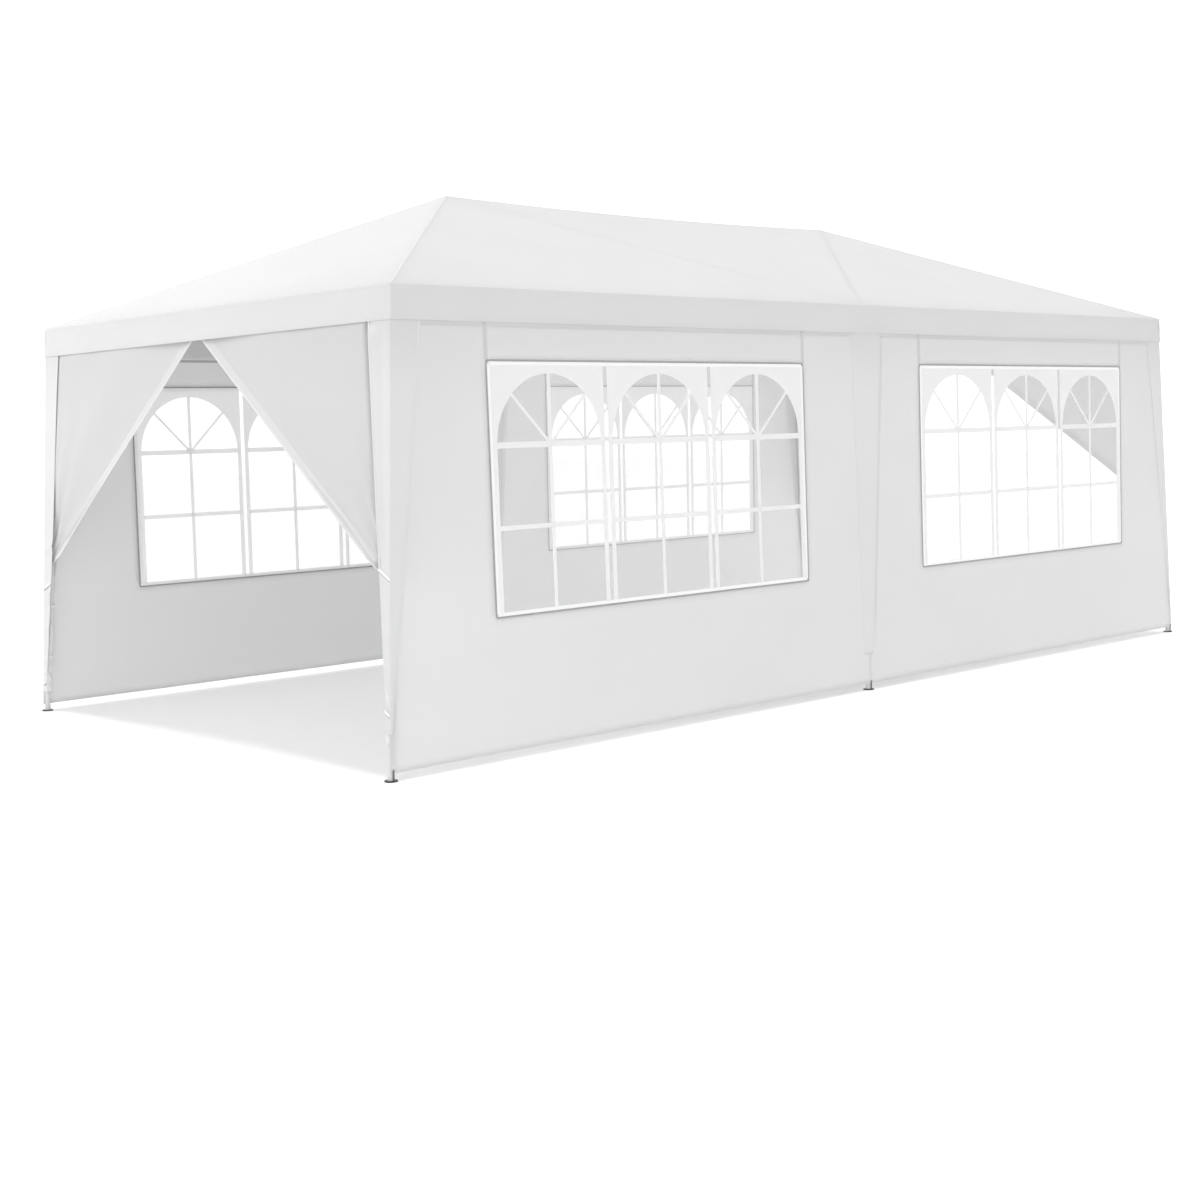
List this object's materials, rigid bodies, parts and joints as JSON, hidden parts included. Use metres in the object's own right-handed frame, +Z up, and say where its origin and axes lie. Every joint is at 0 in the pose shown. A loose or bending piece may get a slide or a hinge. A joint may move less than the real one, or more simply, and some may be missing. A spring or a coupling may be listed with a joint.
{
  "type": "marquee tent",
  "caption": "White marquee tent with a slim steel frame, hip roof and valance, arched-window side walls, and door curtains tied back at both ends.",
  "frame": {"origin": "centre of the tent's footprint, on the ground plane that its six feet stand on", "axes": "+X along the 6 m length towards the back door, +Y across the 3 m width, +Z up"},
  "size_m": [6.2502, 3.0722, 2.6099],
  "materials": {
    "steel": "light grey paint on thin steel tube",
    "fitting": "darker grey paint on the tube connectors",
    "roof_cloth": "white woven polyethylene, slightly glossy",
    "wall_cloth": "white woven polyethylene",
    "clear_film": "clear soft film with white printed glazing bars"
  },
  "bodies": {
    "root": {"connector_back_left": "fitting", "connector_back_right": "fitting", "connector_front_left": "fitting", "connector_front_right": "fitting", "connector_middle_left": "fitting", "connector_middle_right": "fitting", "connector_peak_back": "fitting", "connector_peak_front": "fitting", "curtain_back_left": "wall_cloth", "curtain_back_right": "wall_cloth", "curtain_front_left": "wall_cloth", "curtain_front_right": "wall_cloth", "eave_back": "steel", "eave_front": "steel", "eave_left_back": "steel", "eave_left_front": "steel", "eave_right_back": "steel", "eave_right_front": "steel", "leg_back_left": "steel", "leg_back_right": "steel", "leg_front_left": "steel", "leg_front_right": "steel", "leg_middle_left": "steel", "leg_middle_right": "steel", "rafter_back_left": "steel", "rafter_back_right": "steel", "rafter_front_left": "steel", "rafter_front_right": "steel", "rafter_middle_back_left": "steel", "rafter_middle_back_right": "steel", "rafter_middle_front_left": "steel", "rafter_middle_front_right": "steel", "ridge_tube": "steel", "roof_back": "roof_cloth", "roof_front": "roof_cloth", "roof_left": "roof_cloth", "roof_right": "roof_cloth", "skirt_back_left": "wall_cloth", "skirt_back_right": "wall_cloth", "skirt_front_left": "wall_cloth", "skirt_front_right": "wall_cloth", "skirt_middle_left": "wall_cloth", "skirt_middle_right": "wall_cloth", "valance_back": "roof_cloth", "valance_front": "roof_cloth", "valance_left": "roof_cloth", "valance_right": "roof_cloth", "wall_left_back": "wall_cloth", "wall_left_front": "wall_cloth", "wall_right_back": "wall_cloth", "wall_right_front": "wall_cloth", "window_left_back": "clear_film", "window_left_front": "clear_film", "window_right_back": "clear_film", "window_right_front": "clear_film"}
  },
  "joints": []
}
